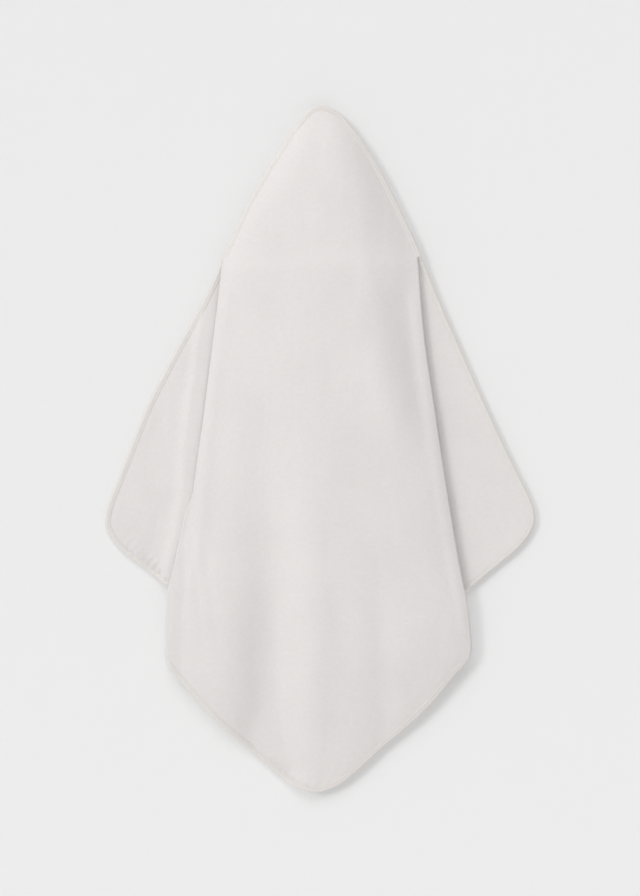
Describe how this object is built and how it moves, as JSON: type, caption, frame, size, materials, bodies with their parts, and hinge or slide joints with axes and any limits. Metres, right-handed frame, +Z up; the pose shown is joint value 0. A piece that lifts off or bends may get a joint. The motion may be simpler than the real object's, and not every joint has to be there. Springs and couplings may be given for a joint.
{
  "type": "hooded baby towel",
  "caption": "Two-layer square baby towel with a sewn corner hood, bound hems and pleated sides, hanging from its hood tip.",
  "frame": {"origin": "the flat seat inside the hood tip that a hook or peg bears on, 20 mm below the top of the towel", "axes": "+Z up along the hanging towel, +X to the right as its smooth outer side is seen, +Y towards the terry side and the mouth of the hood"},
  "size_m": [0.6907, 0.1337, 1.1042],
  "materials": {
    "jersey": "smooth fine knit, matt",
    "terry": "looped terry pile, matt",
    "tape": "fine rib binding tape, matt",
    "thread": "spun sewing thread",
    "label": "blank satin ribbon"
  },
  "bodies": {
    "foot_corner": {"binding_foot_corner": "tape", "lining_foot_corner": "terry", "shell_foot_corner": "jersey", "stitch_foot_corner": "thread"},
    "back": {"binding_hood_legs": "tape", "binding_left_pleat": "tape", "binding_right_pleat": "tape", "lining_center": "terry", "shell_center": "jersey", "stitch_hood_legs": "thread", "stitch_left_pleat": "thread", "stitch_right_pleat": "thread"},
    "hood_front": {"binding_hood_mouth": "tape", "hood_lining": "terry", "hood_shell": "jersey", "stitch_hood_mouth": "thread"},
    "left_wing": {"binding_left_wing": "tape", "lining_left_wing": "terry", "shell_left_wing": "jersey", "stitch_left_wing": "thread"},
    "right_wing": {"binding_right_wing": "tape", "care_label": "label", "lining_right_wing": "terry", "shell_right_wing": "jersey", "stitch_right_wing": "thread"}
  },
  "joints": [
    {"name": "hood_mouth_open", "type": "hinge", "parent": "back", "child": "hood_front", "pos_m": [0, 0.0067, 0.006], "axis": [1, 0, 0], "range_deg": [0, 20], "stiffness_Nm_per_rad": 0.2},
    {"name": "left_wing_wrap", "type": "hinge", "parent": "back", "child": "left_wing", "pos_m": [-0.147, -0.003, -0.234], "axis": [0.0296, 0, -0.9996], "range_deg": [0, 115], "stiffness_Nm_per_rad": 0.01},
    {"name": "right_wing_wrap", "type": "hinge", "parent": "back", "child": "right_wing", "pos_m": [0.147, -0.003, -0.234], "axis": [0.0296, 0, 0.9996], "range_deg": [0, 115], "stiffness_Nm_per_rad": 0.01},
    {"name": "foot_corner_fold", "type": "hinge", "parent": "back", "child": "foot_corner", "pos_m": [0, -0.01625, -0.904], "axis": [1, 0, 0], "range_deg": [-45, 130], "stiffness_Nm_per_rad": 0.01}
  ]
}
